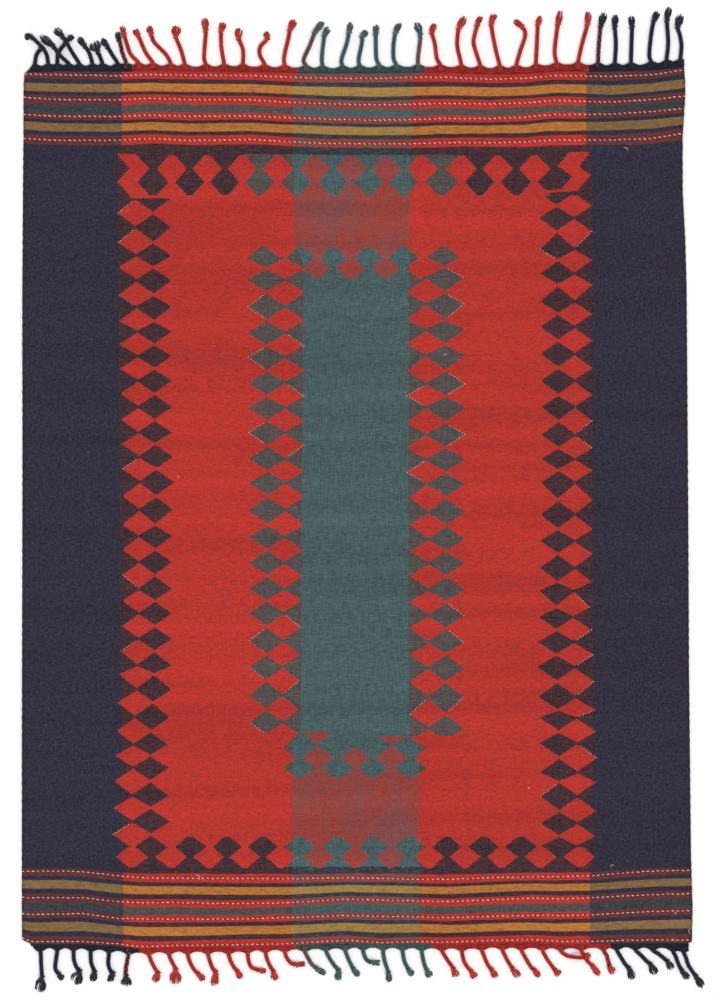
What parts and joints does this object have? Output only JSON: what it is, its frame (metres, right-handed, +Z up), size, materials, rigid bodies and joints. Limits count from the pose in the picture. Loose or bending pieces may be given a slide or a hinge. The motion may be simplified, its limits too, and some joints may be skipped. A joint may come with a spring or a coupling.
{
  "type": "kilim rug",
  "caption": "Flat-woven wool rug with a large stepped diamond field, striped and twined ends, and a fringe of knotted braids, laid flat.",
  "frame": {"origin": "middle of the whole outline, fringe included, at the underside that lies on the floor", "axes": "+Y along the rug towards the end with the longer braids, +X across it, +Z up from the floor"},
  "size_m": [1.2278, 1.7754, 0.014],
  "materials": {
    "woven_wool": "matt plain-woven wool, pattern in red, navy, green and gold",
    "navy_wool": "matt plied wool yarn, dark navy",
    "red_wool": "matt plied wool yarn, madder red",
    "green_wool": "matt plied wool yarn, blue green"
  },
  "bodies": {
    "root": {"kilim_cloth": "woven_wool", "north_heading_navy_west": "navy_wool", "north_heading_red_west": "red_wool", "north_heading_green": "green_wool", "north_heading_red_east": "red_wool", "north_heading_navy_east": "navy_wool", "south_heading_navy_west": "navy_wool", "south_heading_red_west": "red_wool", "south_heading_green": "green_wool", "south_heading_red_east": "red_wool", "south_heading_navy_east": "navy_wool"}
  },
  "joints": []
}
